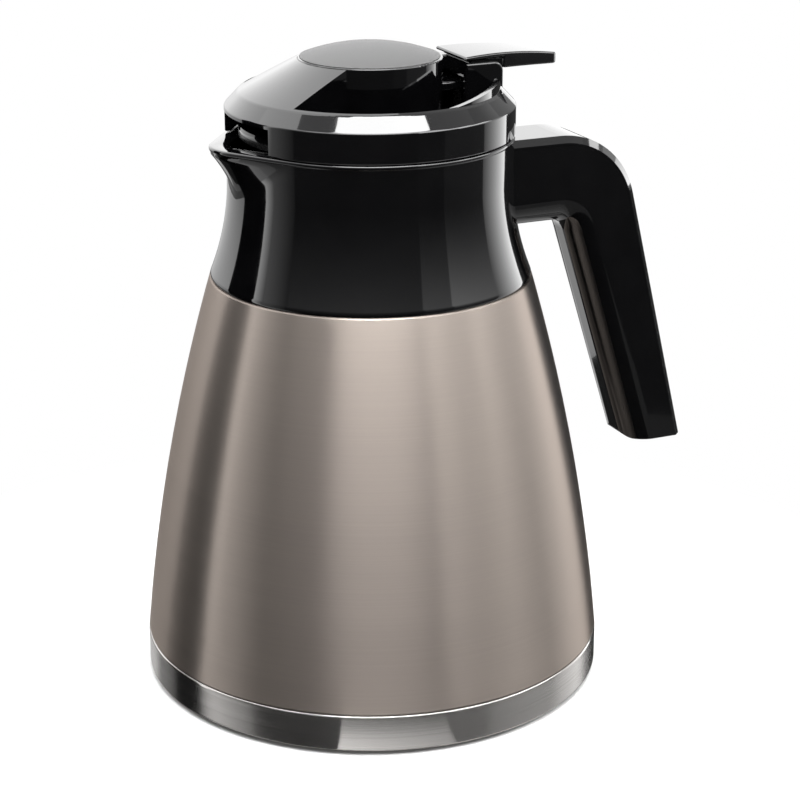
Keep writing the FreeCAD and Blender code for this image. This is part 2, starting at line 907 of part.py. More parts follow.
def make_handle_screws():
    head_end = waist_radius - size["collar_wall"] - size["slide_gap"]
    screws = []
    for number, height in enumerate(handle_screw_heights):
        head = long_rod(f"screw_head_{number}", size["screw_head"], size["screw_head_height"],
                        head_end - size["screw_head_height"], height)
        shank = long_rod(f"screw_shank_{number}", size["screw_shank"], size["screw_length"],
                         head_end, height)
        screws.append(fuse(f"screw_{number}", head, shank))
    return group("handle_screws", *screws)


# Lid

def hood_plan(name, inset):
    """The wedge over the spout, in plan, narrowed by inset on both sides."""
    near = size["hood_half_axis"] - inset
    flare = (size["hood_half_rim"] - size["hood_half_axis"]) / bevel_radius
    reach = spout_reach + size["spout_wall"]
    far = near + reach * flare
    return plan_prism(name, [
        (ZERO, near),
        (-reach, far),
        (-reach, -far),
        (ZERO, -near),
    ], floor_bottom, above_lid - floor_bottom)


def lid_ring(name, inner, outer):
    """The space between two radii above the pocket floor."""
    tall = above_lid - floor_top
    return cut(name, rod(f"{name}_out", outer, tall, floor_top),
               rod(f"{name}_in", inner, tall, floor_top))


def make_lid_dome():
    skirt = skirt_radius
    soft = size["edge_chamfer"]
    inside = skirt - size["skirt_wall"]
    hub = hub_radius
    guide = guide_radius + size["shaft_gap"]
    seat = cap_radius + size["fit_gap"]
    return turned("lid_dome", [
        (inside, skirt_bottom),
        (skirt - soft, skirt_bottom),
        (skirt, skirt_bottom + soft),
        (skirt, bevel_low - soft),
        (skirt - soft, bevel_low + soft / 2, soft / 8),
        (bevel_radius + soft, bevel_high - soft),
        (bevel_radius - soft, bevel_high + soft / 2, soft / 8),
        (hub, hub_top - soft),
        (hub - soft, hub_top, soft / 4),
        (seat, hub_top),
        (seat, cap_edge),
        (hub_bore, cap_edge),
        (hub_bore, web_top),
        (guide, web_top),
        (guide, web_bottom),
        (hub_bore, web_bottom),
        (hub_bore, floor_bottom),
        (inside, floor_bottom),
    ])


def make_hood_hollow():
    """The space under the hood, which opens to the spout through the window."""
    wall = size["hood_wall"]
    shape = turned("hood_space", [
        (hub_radius + wall, floor_top),
        (skirt_radius - wall, floor_top),
        (skirt_radius - wall, bevel_low - wall),
        (bevel_radius - wall, bevel_high - wall),
        (hub_radius + wall, hub_top - wall * 2),
    ])
    return common("hood_hollow", shape, hood_plan("hood_inside", size["hood_wall"]))


def make_fins():
    """The low fins that rise along the lid's rim on both sides of the lever."""
    outer = pocket_radius + size["slide_gap"]
    fin_end = pocket_radius - size["fin_setback"]
    fin_top = bevel_high + size["fin_rise"]
    ring = lid_ring("fin_ring", outer - size["fin_wall"], outer)
    fall = size["fin_rise"]
    floor = floor_top
    side = side_prism("fin_side", [
        (size["fin_start"], floor),
        (outer, floor),
        (outer, bevel_high - (outer - fin_end - fall)),
        (fin_end, fin_top),
        (size["fin_start"], bevel_high),
    ], outer * 2)
    between = block("fin_between", (ZERO, outer * 2), (ZERO, above_lid), cheek_inner)
    return cut("fins", common("fin_pair", ring, side), between)


def make_cheeks():
    """The housing of the lever: two cheeks and a bridge on the hub's side."""
    start = cheek_start
    end = cheek_end
    top = cheek_top
    curve = size["cheek_round"]
    plate = side_prism("cheek_plate", [
        (start, floor_top),
        (end, floor_top),
        (end, top - curve),
        (end - curve, top, curve * (1 - math.sqrt(0.5))),
        (start, top),
    ], size["cheek_half"] * 2)

    def on_flank(edge):
        box = edge.BoundBox
        level = abs(abs(box.Center.y) - size["cheek_half"].value) < 0.01
        return level and box.ZMax > floor_top.value + 1
    round_edges(plate, "cheek_edges", size["cheek_edge"], on_flank)
    well = block("lever_well", (ZERO, end * 2), (ZERO, above_lid), cheek_inner)
    bridge = block("lever_bridge", (start, start + size["cheek_wall"]),
                   (top - size["bridge_height"], top), cheek_inner + size["fit_gap"])
    return fuse("cheeks", cut("cheek_pair", plate, well), bridge)


def pin_rod(name, radius, far):
    """A rod on the lever's axis, from inside the front cheek to the far side."""
    near = size["cheek_half"] - size["pin_cover"]
    item = doc.addObject("Part::Cylinder", name)
    bind(item, Radius=radius, Height=near + far)
    item.Placement.Rotation = FreeCAD.Rotation(FreeCAD.Vector(1, 0, 0), 90)
    return place(item, pivot_reach, far, pivot_height)


def make_lid_shell():
    pockets = cut("pockets", lid_ring("pocket_ring", hub_radius, pocket_radius),
                  hood_plan("hood_outside", ZERO))
    dome = cut("lid_pocketed", make_lid_dome(), pockets)
    solid = fuse("lid_solid", dome, make_cheeks(), make_fins())
    window_top = floor_top + size["window_height"]
    window_core = rod("window_core", flange_radius, window_top - rim_height)
    window = cut(
        "pour_window",
        block("skirt_opening", (-spout_reach, ZERO), (rim_height, window_top), size["window_half"]),
        place(window_core, ZERO, ZERO, rim_height))
    slot = block(
        "lever_slot", (hub_bore - size["hub_wall"], hub_radius + size["hub_wall"]),
        (web_top + size["edge_chamfer"], nose_height + size["arm_thickness"] / 2 + size["arm_play"]),
        size["arm_half"] + size["arm_room"])
    pin_hole = pin_rod("cheek_hole", size["pin_radius"] + size["shaft_gap"] / 2,
                       size["cheek_half"] + size["cheek_wall"])
    screw_holes = [
        place(rod(f"floor_hole_{n}", size["insert_screw_shank"] + size["shaft_gap"],
                  size["floor_thickness"] * 0.8),
              insert_screw_circle * math.cos(math.radians(angle)),
              insert_screw_circle * math.sin(math.radians(angle)), floor_bottom)
        for n, angle in enumerate(INSERT_SCREW_ANGLES)
    ]
    cuts = fuse("lid_cuts", make_hood_hollow(), window, slot, pin_hole, *screw_holes)
    return cut("lid_shell", solid, cuts)


def make_lid_cap():
    wall = size["cap_wall"]
    edge = hub_top + size["fit_gap"] * 2
    crown = edge + size["cap_crown"]
    inside = edge - wall / 2
    return turned("lid_cap", [
        (cap_radius - wall, cap_edge),
        (cap_radius, cap_edge),
        (cap_radius, edge),
        (ZERO, crown, level_bow(cap_radius, size["cap_crown"])),
        (ZERO, crown - wall),
        (cap_radius - wall, inside, -level_bow(cap_radius - wall, crown - wall - inside)),
    ])


# Stopper

def make_lid_insert():
    outer = stopper_radius
    upper = stopper_top
    wall = size["stopper_wall"]
    groove_top = groove_low + size["groove_height"]
    groove = outer - size["groove_depth"]
    step = ledge_bottom
    cup = turned("stopper_cup", [
        (size["seat_bore"], stopper_bottom),
        (outer, stopper_bottom),
        (outer, groove_low),
        (groove, groove_low),
        (groove, groove_top),
        (outer, groove_top),
        (outer, step),
        (upper, step + (upper - outer)),
        (upper, flange_bottom),
        (flange_radius, flange_bottom),
        (flange_radius, floor_bottom),
        (upper - wall, floor_bottom),
        (upper - wall, step),
        (groove - wall, step - wall),
        (groove - wall, valve_seat),
        (size["seat_bore"], valve_seat),
    ])
    port = block("pour_port", (-upper * 2, -upper / 2),
                 (ledge_top + size["port_lift"], flange_bottom - size["port_drop"]), size["port_half"])
    holes = []
    for number, angle in enumerate(INSERT_SCREW_ANGLES):
        x = insert_screw_circle * math.cos(math.radians(angle))
        y = insert_screw_circle * math.sin(math.radians(angle))
        bore = rod(f"flange_hole_{number}", size["insert_screw_shank"] + size["shaft_gap"],
                   size["flange_thickness"] * 2)
        sink = rod(f"flange_sink_{number}", size["insert_screw_head"] + size["fit_gap"],
                   size["insert_screw_sink"] + size["fit_gap"])
        holes.append(place(bore, x, y, flange_bottom - size["flange_thickness"] / 2))
        holes.append(place(sink, x, y, flange_bottom - size["fit_gap"]))
    drilled = cut("stopper_drilled", cup, fuse("stopper_cuts", port, *holes))
    reach = mouth_radius - upper - size["slide_gap"] * 2
    ribs = thread_ribs("stopper_rib", upper - size["fit_gap"], reach + size["fit_gap"],
                       thread_low)
    return fuse("lid_insert", drilled, *ribs)


def make_insert_screws():
    screws = []
    for number, angle in enumerate(INSERT_SCREW_ANGLES):
        x = insert_screw_circle * math.cos(math.radians(angle))
        y = insert_screw_circle * math.sin(math.radians(angle))
        head = rod(f"insert_head_{number}", size["insert_screw_head"], size["insert_screw_sink"])
        shank = rod(f"insert_shank_{number}", size["insert_screw_shank"],
                    size["flange_thickness"] + size["floor_thickness"] / 2)
        screws.append(fuse(f"insert_screw_{number}", place(head, x, y, flange_bottom),
                           place(shank, x, y, flange_bottom)))
    return group("insert_screws", *screws)


def make_lid_gasket():
    gap = size["slide_gap"]
    inner = stopper_radius - size["groove_depth"] + gap
    outer = neck_bore - gap
    low = groove_low + gap
    high = groove_low + size["groove_height"] - gap
    lip = (high - low) / 4
    return turned("lid_gasket", [
        (inner, low),
        (outer - lip, low),
        (outer, low + lip, lip / 4),
        (outer, high - lip),
        (outer - lip, high, lip / 4),
        (inner, high),
    ])


# Lever

def make_paddle():
    """The thumb plate, with a thick tongue that hangs between the cheeks."""
    start = lever_start
    end = lever_end
    under = lever_under
    crown = size["lever_crown"]
    near = size["cheek_half"]
    far = size["lever_half_end"]
    curve = size["lever_corner"]
    quarter = curve * (1 - math.sqrt(0.5))
    side = side_prism("paddle_side", [
        (start, under),
        (end, under - crown / 2, -crown / 4),
        (end, under + size["lever_tip_thickness"]),
        (start, lever_top, crown),
    ], near * 2)
    plan = plan_prism("paddle_plan", [
        (start, -near),
        (end - curve, -far),
        (end, -far + curve, quarter),
        (end, far - curve),
        (end - curve, far, quarter),
        (start, near),
    ], floor_top, above_lid - floor_top)
    over_cheeks = cheek_top + size["lever_lift_gap"]
    notch = block("paddle_notch", (ZERO, cheek_end + size["lever_lift_gap"]),
                  (ZERO, over_cheeks), near * 2)
    tongue = block("paddle_tongue",
                   (cheek_start + size["cheek_wall"] + size["lever_side_gap"], end),
                   (ZERO, above_lid), cheek_inner - size["lever_side_gap"])
    return cut("paddle", common("paddle_full", side, plan), cut("paddle_undercut", notch, tongue))


def make_lever():
    boss = size["lever_boss"]
    web = side_prism("lever_web", [
        (pivot_reach - boss, pivot_height - boss),
        (pivot_reach + boss, pivot_height - boss),
        (pivot_reach + boss, lever_under + size["lever_crown"]),
        (pivot_reach - boss, lever_under + size["lever_crown"]),
    ], (cheek_inner - size["lever_side_gap"]) * 2)
    arm = block("lever_arm", (-size["nose_radius"] / 2, pivot_reach),
                (nose_height - size["arm_thickness"] / 2, nose_height + size["arm_thickness"] / 2),
                size["arm_half"])
    nose = cross_rod("lever_nose", size["nose_radius"], size["arm_half"] * 2, ZERO, nose_height)
    solid = fuse("lever_solid", make_paddle(), web, arm, nose)
    fork = block("lever_fork", (-size["stem_head"] * 2, size["stem_head"] + size["nose_radius"]),
                 (ZERO, above_lid), size["stem_radius"] + size["fork_gap"])
    bore = cross_rod("lever_bore", size["pin_radius"] + size["shaft_gap"],
                     size["cheek_half"] * 3, pivot_reach, pivot_height)
    return cut("lever", solid, fuse("lever_cuts", fork, bore))


def make_lever_pin():
    return pin_rod("lever_pin", size["pin_radius"], size["cheek_half"])


# Valve

def make_valve_stem():
    under_head = nose_height + size["nose_radius"] + size["slide_gap"]
    top = under_head + size["stem_head_height"]
    soft = size["edge_chamfer"]
    return turned("valve_stem", [
        (ZERO, plug_bottom),
        (size["stem_radius"], plug_bottom),
        (size["stem_radius"], under_head),
        (size["stem_head"], under_head),
        (size["stem_head"], top - soft),
        (size["stem_head"] - soft, top),
        (ZERO, top),
    ])


def make_stem_guide():
    bore = size["stem_radius"] + size["shaft_gap"]
    flange = guide_radius + size["guide_flange"]
    return turned("stem_guide", [
        (bore, web_bottom),
        (guide_radius, web_bottom),
        (guide_radius, web_top),
        (flange, web_top),
        (flange, web_top + size["guide_flange"]),
        (bore, web_top + size["guide_flange"]),
    ])


def make_valve_plug():
    bore = size["stem_radius"] + size["shaft_gap"] / 2
    soft = size["edge_chamfer"]
    return turned("valve_plug", [
        (bore, plug_bottom),
        (plug_radius, plug_bottom),
        (plug_radius, plug_top - soft),
        (plug_radius - soft, plug_top),
        (plug_boss, plug_top),
        (plug_boss, plug_top + size["plug_thickness"]),
        (bore, plug_top + size["plug_thickness"]),
    ])


def make_valve_seal():
    return turned("valve_seal", [
        (plug_radius - size["seal_width"], seal_bottom),
        (plug_radius, seal_bottom),
        (plug_radius, plug_bottom),
        (plug_radius - size["seal_width"], plug_bottom),
    ])


def make_valve_spring():
    wire = size["spring_wire"]
    gap = size["fit_gap"]
    low = plug_top + wire + gap
    path = doc.addObject("Part::Helix", "spring_path")
    bind(path, Pitch=size["spring_pitch"], Radius=spring_radius,
         Height=web_bottom - wire - gap - low)
    place(path, z=low)
    section = doc.addObject("Part::Circle", "spring_section")
    bind(section, Radius=wire)
    section.Placement.Rotation = FreeCAD.Rotation(FreeCAD.Vector(1, 0, 0), 90)
    place(section, x=spring_radius, z=low)
    spring = doc.addObject("Part::Sweep", "valve_spring")
    spring.Sections = [section]
    spring.Spine = (path, [])
    spring.Solid = True
    spring.Frenet = True
    return spring


PIECES = {
    "base_ring": make_base_ring,
    "base_pad": make_base_pad,
    "base_cap": make_base_cap,
    "base_plate": make_base_plate,
    "vacuum_seal": make_vacuum_seal,
    "outer_shell": make_outer_shell,
    "inner_liner": make_inner_liner,
    "getter": make_getter,
    "collar": make_collar,
    "collar_gasket": make_collar_gasket,
    "handle_shell": make_handle_shell,
    "handle_back": make_handle_back,
    "handle_screws": make_handle_screws,
    "lid_shell": make_lid_shell,
    "lid_cap": make_lid_cap,
    "lid_insert": make_lid_insert,
    "insert_screws": make_insert_screws,
    "lid_gasket": make_lid_gasket,
    "lever": make_lever,
    "lever_pin": make_lever_pin,
    "valve_stem": make_valve_stem,
    "stem_guide": make_stem_guide,
    "valve_plug": make_valve_plug,
    "valve_seal": make_valve_seal,
    "valve_spring": make_valve_spring,
}


def write_pieces():
    made = {}
    for name, make in PIECES.items():
        made[name] = make()
        made[name].Label = name
    doc.recompute()
    faults = [f"{item.Name}: {item.State}" for item in doc.Objects
              if "Invalid" in item.State or "Error" in item.State]
    for name, item in made.items():
        if item.Shape.isNull() or not item.Shape.isValid():
            faults.append(f"{name} has no valid shape")
    if faults:
        raise RuntimeError("; ".join(faults))
    os.makedirs("parts", exist_ok=True)
    for name, item in made.items():
        item.Shape.exportStep(f"parts/{name}.step")


write_pieces()
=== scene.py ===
import json
import math

import bmesh
import bpy
from mathutils import Euler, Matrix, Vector

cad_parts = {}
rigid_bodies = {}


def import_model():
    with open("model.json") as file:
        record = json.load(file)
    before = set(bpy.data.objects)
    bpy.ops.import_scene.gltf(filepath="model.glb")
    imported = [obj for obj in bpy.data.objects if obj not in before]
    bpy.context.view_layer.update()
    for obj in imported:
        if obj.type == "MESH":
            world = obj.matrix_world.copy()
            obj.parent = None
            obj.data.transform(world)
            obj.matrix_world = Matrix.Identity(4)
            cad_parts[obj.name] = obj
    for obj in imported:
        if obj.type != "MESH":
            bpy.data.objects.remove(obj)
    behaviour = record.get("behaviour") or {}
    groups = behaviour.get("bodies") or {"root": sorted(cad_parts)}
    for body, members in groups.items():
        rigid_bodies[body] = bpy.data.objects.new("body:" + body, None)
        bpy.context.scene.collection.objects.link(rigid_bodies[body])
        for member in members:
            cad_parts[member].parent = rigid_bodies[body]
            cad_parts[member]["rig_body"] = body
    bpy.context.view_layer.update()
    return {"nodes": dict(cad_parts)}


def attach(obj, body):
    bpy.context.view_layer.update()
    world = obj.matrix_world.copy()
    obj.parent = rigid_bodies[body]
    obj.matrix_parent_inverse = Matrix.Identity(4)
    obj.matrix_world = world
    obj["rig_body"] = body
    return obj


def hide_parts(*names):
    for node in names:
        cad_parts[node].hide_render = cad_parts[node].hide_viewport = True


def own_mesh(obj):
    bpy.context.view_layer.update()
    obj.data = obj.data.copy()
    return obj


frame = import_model()
nodes = frame["nodes"]
scene = bpy.context.scene
MM = 0.001


# Camera, at the photograph's view: 24 degrees round from the front, looking 19.5 degrees down.

VIEW_TURN = math.radians(24)
VIEW_TILT = math.radians(19.51)
CAMERA_PLACE = (-0.285, -0.6647, 0.352)
SENSOR_WIDTH = 36
FOCAL_LENGTH = 99


def make_camera():
    data = bpy.data.cameras.new("photo_view")
    data.sensor_width = SENSOR_WIDTH
    data.lens = FOCAL_LENGTH
    camera = bpy.data.objects.new("photo_view", data)
    camera.location = CAMERA_PLACE
    camera.rotation_euler = Euler((math.pi / 2 - VIEW_TILT, 0, -VIEW_TURN))
    scene.collection.objects.link(camera)
    scene.camera = camera


# Studio: a dome of bright and dark cards round the pot, a white room and a pale floor.
# Directions are seen from the pot, in degrees: turn 0 is towards the camera, positive turns go to
# the right of the picture, and a rise is the angle above the level of the aim. Lengths are metres.

PANEL_DISTANCE = 1.6
TOP_DISTANCE = 0.5
FRONT_DISTANCE = 0.8
AIM_HEIGHT = 0.17
CARD_STEPS = 12
TABLE_CARD_RADII = (0.0805, 0.097)
TABLE_CARD_HEIGHT = 0.1 * MM
AMBIENT = 0.5
FLOOR_RADIUS = 0.6
FLOOR_SIDES = 96
FLOOR_DROP = 0.2 * MM
FLOOR_GREY = 0.93
FLOOR_FADE = (0.09, 0.22)


def bare_material(name):
    """A material without nodes, to be filled."""
    material = bpy.data.materials.new(name)
    material.use_nodes = True
    material.node_tree.nodes.clear()
    return material


def card_mesh(name, point_of):
    """A grid of faces, mapped with the shares of the card's width and height."""
    mesh = bpy.data.meshes.new(name)
    build = bmesh.new()
    uv = build.loops.layers.uv.new("card")
    shares = [n / CARD_STEPS for n in range(CARD_STEPS + 1)]
    rows = [[build.verts.new(point_of(u, v)) for u in shares] for v in shares]
    for j in range(CARD_STEPS):
        for i in range(CARD_STEPS):
            corners = ((i, j), (i + 1, j), (i + 1, j + 1), (i, j + 1))
            face = build.faces.new([rows[row][column] for column, row in corners])
            for loop, (column, row) in zip(face.loops, corners):
                loop[uv].uv = (shares[column], shares[row])
    build.to_mesh(mesh)
    build.free()
    return mesh


def card_light(name, low, high, power, side):
    """Light from low at the card's bottom edge to high at its top edge, along a power curve.

    From the card's first turn to its last, the light goes from all of that to the share named side.
    """
    material = bare_material(name)
    tree = material.node_tree
    place = tree.nodes.new("ShaderNodeUVMap")
    split = tree.nodes.new("ShaderNodeSeparateXYZ")
    curve = tree.nodes.new("ShaderNodeMath")
    curve.operation = "POWER"
    curve.inputs[1].default_value = power
    upward = tree.nodes.new("ShaderNodeMapRange")
    upward.inputs["To Min"].default_value = low
    upward.inputs["To Max"].default_value = high
    across = tree.nodes.new("ShaderNodeMapRange")
    across.inputs["To Min"].default_value = 1
    across.inputs["To Max"].default_value = side
    product = tree.nodes.new("ShaderNodeMath")
    product.operation = "MULTIPLY"
    light = tree.nodes.new("ShaderNodeEmission")
    out = tree.nodes.new("ShaderNodeOutputMaterial")
    tree.links.new(place.outputs["UV"], split.inputs["Vector"])
    tree.links.new(split.outputs["X"], across.inputs["Value"])
    tree.links.new(split.outputs["Y"], curve.inputs[0])
    tree.links.new(curve.outputs["Value"], upward.inputs["Value"])
    tree.links.new(upward.outputs["Result"], product.inputs[0])
    tree.links.new(across.outputs["Result"], product.inputs[1])
    tree.links.new(product.outputs["Value"], light.inputs["Strength"])
    tree.links.new(light.outputs["Emission"], out.inputs["Surface"])
    return material


def card(name, point_of, low, high, power=1, side=1):
    """A card that the camera doesn't see. A black one shows in reflections only."""
    mesh = card_mesh(name, point_of)
    mesh.materials.append(card_light(name, low, high, power, side))
    piece = bpy.data.objects.new(name, mesh)
    scene.collection.objects.link(piece)
    piece.visible_camera = False
    piece.visible_shadow = False
    piece.visible_diffuse = max(low, high) > 0
    return piece


def outward(turn):
    angle = math.radians(turn) - math.pi / 2 - VIEW_TURN
    return Vector((math.cos(angle), math.sin(angle), 0))


def between(limits, share):
    return limits[0] + (limits[1] - limits[0]) * share


def panel(name, turns, rises, low, high, power=1, side=1, distance=PANEL_DISTANCE):
    """A card on the dome, between two turns and two rises."""
    def point_of(u, v):
        rise = math.radians(between(rises, v))
        level = outward(between(turns, u)) * math.cos(rise)
        return (level + Vector((0, 0, math.sin(rise)))) * distance + Vector((0, 0, AIM_HEIGHT))
    card(name, point_of, low, high, power, side)


def table_card(name, turns, radii, strength, side):
    """A card that lies on the table by the foot, for the steel band there to reflect."""
    def point_of(u, v):
        return outward(between(turns, u)) * between(radii, v) + Vector((0, 0, TABLE_CARD_HEIGHT))
    piece = card(name, point_of, strength, strength, side=side)
    piece.visible_diffuse = False


def make_front_cards():
    panel("top_light", (-45, 72), (60, 84), 12, 12, distance=TOP_DISTANCE)
    panel("front_light", (-28, 41), (38, 58), 6, 6, distance=FRONT_DISTANCE)
    panel("front_card", (-60, 38), (-88, 38), 0.01, 0.5, power=6)
    panel("front_left_rise", (-60, -28), (38, 56), 2.6, 3.6)


def make_right_cards():
    panel("right_table_card", (38, 60), (-88, -22), 0.12, 0.12)
    panel("right_card", (38, 60), (-22, 28), 0.03, 0.8, power=2.5)
    panel("right_rise", (41, 76), (28, 57), 5, 5)
    panel("far_right_table_card", (60, 100), (-88, -22), 0.22, 0.22, side=2)
    panel("far_right_card", (60, 100), (-22, 24), 0.05, 1.6, power=2.5)
    panel("far_right_rise", (76, 100), (24, 42), 5.5, 5.5)
    panel("right_rise_end", (100, 116), (24, 36), 5.5, 5.5, side=0.8)
    panel("right_low_card", (100, 134), (-88, -16), 0.02, 0.6, power=1.5, side=2.5)
    panel("right_light", (100, 134), (-16, 12), 0.4, 0.55, side=6.5)
    panel("right_high_card", (100, 134), (12, 24), 1.6, 1.6, side=0.4)
    panel("right_rise_card", (116, 134), (24, 36), 0.6, 0.4)
    panel("right_crest_card", (100, 134), (36, 42), 0.4, 0.4)
    panel("high_right_card", (76, 160), (42, 57), 0.5, 0.5)
    panel("top_right_card", (55, 160), (57, 84), 0.5, 0.5)


def make_back_cards():
    panel("back_right_card", (134, 160), (-6, 42), 0.2, 0.5)
    panel("black_back_card", (134, 180), (-36, -6), 0.04, 0.04)
    panel("back_table_light", (134, 180), (-88, -36), 0.4, 0.4)
    panel("back_right_light", (160, 180), (-6, 75), 1.2, 2.2)
    panel("back_left_low_card", (-180, -117), (-88, -34), 0.03, 0.03)
    panel("back_left_table_light", (-180, -140), (-34, -26), 0.7, 0.7)
    panel("back_left_table_card", (-140, -117), (-34, -26), 0.25, 0.25)
    panel("back_left_card", (-180, -117), (-26, -14), 0.15, 0.15)
    panel("back_left_low", (-180, -117), (-14, 8), 0.6, 1.5, power=1.5)
    panel("back_left_light", (-180, -117), (8, 75), 1.5, 2.1, power=0.6)


def make_left_cards():
    panel("black_left_card", (-117, -89), (-88, 30), 0, 0)
    panel("high_left_light", (-117, -89), (30, 75), 2.1, 2.2)
    panel("left_table_strip", (-89, -80), (-88, -22), 0.9, 0.9, side=0.8)
    panel("left_strip", (-89, -80), (-22, 40), 2, 2.6, side=0.2)
    panel("left_table_light", (-80, -60), (-88, -22), 0.6, 0.6, side=0.35)
    panel("left_light", (-80, -60), (-22, 40), 0.4, 0.75, side=0.17)
    panel("left_rise", (-89, -60), (40, 56), 1.8, 2.2)
    panel("top_left_card", (-89, -45), (56, 84), 0.5, 0.5)


def make_studio():
    make_front_cards()
    make_right_cards()
    make_back_cards()
    make_left_cards()
    table_card("table_card", (-8, 22), TABLE_CARD_RADII, 1.05, side=0.45)


def make_world():
    """White to the camera, in reflections and through glass, and dimmer as a light."""
    world = bpy.data.worlds.new("white_room")
    scene.world = world
    world.use_nodes = True
    tree = world.node_tree
    tree.nodes.clear()
    path = tree.nodes.new("ShaderNodeLightPath")
    seen = tree.nodes.new("ShaderNodeMath")
    seen_any = tree.nodes.new("ShaderNodeMath")
    seen.operation = "MAXIMUM"
    seen_any.operation = "MAXIMUM"
    ambient = tree.nodes.new("ShaderNodeBackground")
    ambient.inputs["Strength"].default_value = AMBIENT
    white = tree.nodes.new("ShaderNodeBackground")
    for background in (ambient, white):
        background.inputs["Color"].default_value = (1, 1, 1, 1)
    mix = tree.nodes.new("ShaderNodeMixShader")
    out = tree.nodes.new("ShaderNodeOutputWorld")
    tree.links.new(path.outputs["Is Camera Ray"], seen.inputs[0])
    tree.links.new(path.outputs["Is Glossy Ray"], seen.inputs[1])
    tree.links.new(seen.outputs["Value"], seen_any.inputs[0])
    tree.links.new(path.outputs["Is Transmission Ray"], seen_any.inputs[1])
    tree.links.new(seen_any.outputs["Value"], mix.inputs["Fac"])
    tree.links.new(ambient.outputs["Background"], mix.inputs[1])
    tree.links.new(white.outputs["Background"], mix.inputs[2])
    tree.links.new(mix.outputs["Shader"], out.inputs["Surface"])


def floor_paper():
    """Pale paper near the foot, which fades into the white room further out."""
    material = bare_material("floor")
    tree = material.node_tree
    paper = tree.nodes.new("ShaderNodeBsdfDiffuse")
    paper.inputs["Color"].default_value = (FLOOR_GREY, FLOOR_GREY, FLOOR_GREY, 1)
    white = tree.nodes.new("ShaderNodeEmission")
    coords = tree.nodes.new("ShaderNodeTexCoord")
    reach = tree.nodes.new("ShaderNodeVectorMath")
    reach.operation = "LENGTH"
    fade = tree.nodes.new("ShaderNodeMapRange")
    fade.interpolation_type = "SMOOTHSTEP"
    fade.inputs["From Min"].default_value = FLOOR_FADE[0]
    fade.inputs["From Max"].default_value = FLOOR_FADE[1]
    mix = tree.nodes.new("ShaderNodeMixShader")
    out = tree.nodes.new("ShaderNodeOutputMaterial")
    tree.links.new(coords.outputs["Object"], reach.inputs[0])
    tree.links.new(reach.outputs["Value"], fade.inputs["Value"])
    tree.links.new(fade.outputs["Result"], mix.inputs["Fac"])
    tree.links.new(paper.outputs["BSDF"], mix.inputs[1])
    tree.links.new(white.outputs["Emission"], mix.inputs[2])
    tree.links.new(mix.outputs["Shader"], out.inputs["Surface"])
    return material


def make_floor():
    """A disc that takes the pot's shadow and doesn't show in reflections."""
    mesh = bpy.data.meshes.new("floor")
    build = bmesh.new()
    bmesh.ops.create_circle(build, cap_ends=True, segments=FLOOR_SIDES, radius=FLOOR_RADIUS)
    build.to_mesh(mesh)
    build.free()
    mesh.materials.append(floor_paper())
    floor = bpy.data.objects.new("floor", mesh)
    floor.location.z = -FLOOR_DROP
    floor.visible_glossy = False
    scene.collection.objects.link(floor)


# Materials. Each is uneven in colour and roughness: brushing lines, a moulding's grain or a cloud.

NOISE_LOW = 0.3
NOISE_HIGH = 0.7


def shader_of(name, color, roughness, **settings):
    material = bpy.data.materials.new(name)
    material.use_nodes = True
    shader = material.node_tree.nodes["Principled BSDF"]
    shader.inputs["Base Color"].default_value = (*color, 1)
    shader.inputs["Roughness"].default_value = roughness
    for socket, value in settings.items():
        shader.inputs[socket.replace("_", " ")].default_value = value
    return material, material.node_tree, shader


def noise(tree, cycles, detail):
    """Noise over the pot's own coordinates, with its cycles per metre along X, Y and Z."""
    coords = tree.nodes.new("ShaderNodeTexCoord")
    scale = tree.nodes.new("ShaderNodeMapping")
    scale.inputs["Scale"].default_value = cycles
    texture = tree.nodes.new("ShaderNodeTexNoise")
    texture.inputs["Scale"].default_value = 1
    texture.inputs["Detail"].default_value = detail
    tree.links.new(coords.outputs["Object"], scale.inputs["Vector"])
    tree.links.new(scale.outputs["Vector"], texture.inputs["Vector"])
    return texture.outputs["Fac"]


def vary(tree, value, socket, low, high):
    """Spreads the noise over the values from low to high."""
    spread = tree.nodes.new("ShaderNodeMapRange")
    spread.inputs["From Min"].default_value = NOISE_LOW
    spread.inputs["From Max"].default_value = NOISE_HIGH
    spread.inputs["To Min"].default_value = low
    spread.inputs["To Max"].default_value = high
    tree.links.new(value, spread.inputs["Value"])
    tree.links.new(spread.outputs["Result"], socket)


def tint(tree, value, socket, dark, light):
    """Spreads the noise over the colours from dark to light."""
    ramp = tree.nodes.new("ShaderNodeValToRGB")
    ramp.color_ramp.elements[0].position = NOISE_LOW
    ramp.color_ramp.elements[1].position = NOISE_HIGH
    ramp.color_ramp.elements[0].color = (*dark, 1)
    ramp.color_ramp.elements[1].color = (*light, 1)
    tree.links.new(value, ramp.inputs["Fac"])
    tree.links.new(ramp.outputs["Color"], socket)


def bump(tree, value, shader, depth):
    relief = tree.nodes.new("ShaderNodeBump")
    relief.inputs["Distance"].default_value = depth
    tree.links.new(value, relief.inputs["Height"])
    tree.links.new(relief.outputs["Normal"], shader.inputs["Normal"])


def brush_round(tree, shader):
    """Stretches reflections upright, as brushing that runs round the pot does."""
    tangent = tree.nodes.new("ShaderNodeTangent")
    tangent.direction_type = "RADIAL"
    tangent.axis = "Z"
    tree.links.new(tangent.outputs["Tangent"], shader.inputs["Tangent"])


